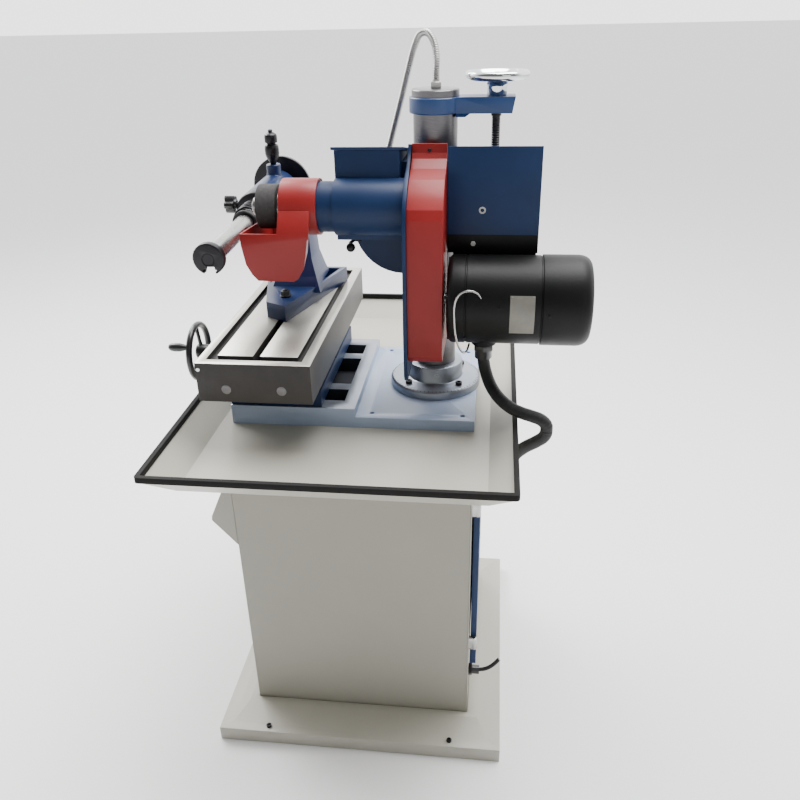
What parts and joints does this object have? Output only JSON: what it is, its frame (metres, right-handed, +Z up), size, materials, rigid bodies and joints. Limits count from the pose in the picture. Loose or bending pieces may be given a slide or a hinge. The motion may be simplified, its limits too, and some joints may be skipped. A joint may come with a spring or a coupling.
{
  "type": "sharpening machine",
  "caption": "Tool and cutter sharpening machine: sheet-metal cabinet with chip tray, cross and long slides, tilting indexing workhead, and a belt-driven grinding head on a column.",
  "frame": {"origin": "centre of the foot's underside, on the floor", "axes": "+Z up, +Y from the operator's side to the back, +X along the table to its near end in the picture"},
  "size_m": [0.9, 0.81, 1.3786],
  "materials": {
    "cream_sheet": "smooth enamel",
    "blue_paint": "semi-gloss enamel",
    "blue_gloss": "gloss enamel",
    "bed_blue": "satin enamel",
    "red_paint": "satin enamel",
    "black_rubber": "matt",
    "cable_black": "matt",
    "black_plastic": "gloss",
    "black_enamel": "satin enamel",
    "blackened_steel": "blackened",
    "machined_steel": "turned",
    "column_steel": "ground",
    "table_iron": "ground top, scraped sides",
    "chrome_wheel": "polished",
    "flex_steel": "ribbed",
    "grit": "bonded abrasive",
    "button_green": "gloss",
    "button_red": "gloss"
  },
  "bodies": {
    "machine_base": {"base_pan": "cream_sheet", "cabinet_wrap": "cream_sheet", "cabinet_rear_frame": "cream_sheet", "control_console": "cream_sheet", "door_hinge_upper": "machined_steel", "door_hinge_lower": "machined_steel", "conduit_gland_cabinet": "black_plastic", "mains_gland": "black_plastic", "mains_cable": "cable_black", "chip_tray": "cream_sheet", "tray_trim": "black_rubber", "bed_casting": "bed_blue", "column_flange": "column_steel", "cross_feed_nut": "machined_steel", "motor_conduit_lower": "cable_black"},
    "rear_door": {"rear_door": "blue_paint"},
    "door_latch": {"door_latch": "black_plastic"},
    "start_button": {"start_button": "button_green"},
    "stop_button": {"stop_button": "button_red"},
    "emergency_stop": {"emergency_stop": "button_red"},
    "saddle": {"saddle": "blue_paint"},
    "cross_feed_screw": {"cross_feed_screw": "machined_steel", "cross_handwheel": "black_enamel"},
    "table": {"table": "table_iron", "workhead_base": "blue_gloss", "workhead_bolt_near": "machined_steel", "workhead_bolt_far": "machined_steel"},
    "workhead": {"workhead_housing": "blue_gloss", "spindle_collar": "blackened_steel"},
    "thumb_screw": {"thumb_screw": "black_plastic"},
    "index_plunger": {"index_plunger": "blackened_steel"},
    "workhead_spindle": {"workhead_spindle": "machined_steel", "spindle_spring": "blackened_steel", "spindle_flange": "blackened_steel", "spindle_end_disc": "blackened_steel", "index_dial": "blackened_steel"},
    "column": {"column": "column_steel", "top_arm": "blue_paint", "lamp_gooseneck": "flex_steel", "lamp_head": "black_enamel"},
    "elevating_screw": {"elevating_screw": "machined_steel", "elevating_handwheel": "chrome_wheel"},
    "wheelhead": {"head_casting": "blue_paint", "head_lid": "blue_paint", "head_side_cover": "blue_paint", "quill_housing": "blue_paint", "front_bearing": "machined_steel", "rear_bearing": "machined_steel", "wheel_guard": "red_paint", "belt_guard_plate": "blue_paint", "belt_guard_cover": "red_paint", "drive_belt": "black_rubber", "motor_body": "black_enamel", "conduit_gland_motor": "black_plastic", "earth_wire": "flex_steel", "motor_conduit_upper": "cable_black"},
    "wheel_spindle": {"wheel_spindle": "machined_steel", "grinding_wheel": "grit"},
    "motor_rotor": {"motor_pulley": "machined_steel"},
    "head_lock_lever": {"head_lock_lever": "black_enamel"}
  },
  "joints": [
    {"name": "door_swing", "type": "hinge", "parent": "machine_base", "child": "rear_door", "pos_m": [0.2265, 0.24, 0.37], "axis": [0, 0, 1], "range_deg": [-110, 0]},
    {"name": "latch_turn", "type": "hinge", "parent": "rear_door", "child": "door_latch", "pos_m": [-0.193, 0.25, 0.37], "axis": [0, 1, 0], "range_deg": [0, 90]},
    {"name": "start_press", "type": "slide", "parent": "machine_base", "child": "start_button", "axis": [0, -0.9095, 0.4157], "range_m": [-0.003, 0], "stiffness_N_per_m": 300},
    {"name": "stop_press", "type": "slide", "parent": "machine_base", "child": "stop_button", "axis": [0, -0.9095, 0.4157], "range_m": [-0.003, 0], "stiffness_N_per_m": 300},
    {"name": "emergency_press", "type": "slide", "parent": "machine_base", "child": "emergency_stop", "axis": [0, -0.9095, 0.4157], "range_m": [-0.003, 0], "stiffness_N_per_m": 500},
    {"name": "saddle_slide", "type": "slide", "parent": "machine_base", "child": "saddle", "axis": [0, 1, 0], "range_m": [-0.06, 0]},
    {"name": "cross_screw_turn", "type": "hinge", "parent": "saddle", "child": "cross_feed_screw", "pos_m": [0.01, -0.3, 0.784], "axis": [0, 1, 0], "range_deg": [-4340, 20]},
    {"name": "table_slide", "type": "slide", "parent": "saddle", "child": "table", "axis": [1, 0, 0], "range_m": [-0.15, 0.05]},
    {"name": "workhead_tilt", "type": "hinge", "parent": "table", "child": "workhead", "pos_m": [-0.1, -0.16, 1.069], "axis": [0, 1, 0], "range_deg": [-30, 20]},
    {"name": "thumb_screw_turn", "type": "hinge", "parent": "workhead", "child": "thumb_screw", "pos_m": [-0.02959, -0.25, 1.07903], "axis": [0, 1, 0], "range_deg": [-180, 180]},
    {"name": "plunger_lift", "type": "slide", "parent": "workhead", "child": "index_plunger", "axis": [0.0366, 0, 0.9993], "range_m": [0, 0.008], "stiffness_N_per_m": 400},
    {"name": "workhead_spin", "type": "hinge", "parent": "workhead", "child": "workhead_spindle", "pos_m": [-0.1, -0.204, 1.069], "axis": [0.9993, 0, -0.0366], "continuous": true},
    {"name": "column_swivel", "type": "hinge", "parent": "machine_base", "child": "column", "pos_m": [0, 0.1435, 0.9], "axis": [0, 0, 1], "range_deg": [0, 12]},
    {"name": "elevating_turn", "type": "hinge", "parent": "column", "child": "elevating_screw", "pos_m": [0, 0.249, 1.29], "axis": [0, 0, 1], "range_deg": [-2720, 5420]},
    {"name": "wheelhead_slide", "type": "slide", "parent": "column", "child": "wheelhead", "axis": [0, 0, 1], "range_m": [-0.06, 0.03], "deforming": ["motor_conduit_upper", "motor_conduit_lower"]},
    {"name": "wheel_spin", "type": "hinge", "parent": "wheelhead", "child": "wheel_spindle", "pos_m": [0.105, 0, 1.106], "axis": [0, 1, 0], "continuous": true},
    {"name": "motor_spin", "type": "hinge", "parent": "wheelhead", "child": "motor_rotor", "pos_m": [0.13, 0.14, 0.952], "axis": [0, 1, 0], "continuous": true},
    {"name": "lock_lever_turn", "type": "hinge", "parent": "wheelhead", "child": "head_lock_lever", "pos_m": [0.07, 0.008, 1.044], "axis": [0, 0, 1], "range_deg": [-35, 35]}
  ],
  "couplings": [
    {"joint": "cross_screw_turn", "follows": "saddle_slide", "rad_per_m": 1256.6},
    {"joint": "elevating_turn", "follows": "wheelhead_slide", "rad_per_m": -1570.8},
    {"joint": "motor_spin", "follows": "wheel_spin", "ratio": 0.68571}
  ]
}
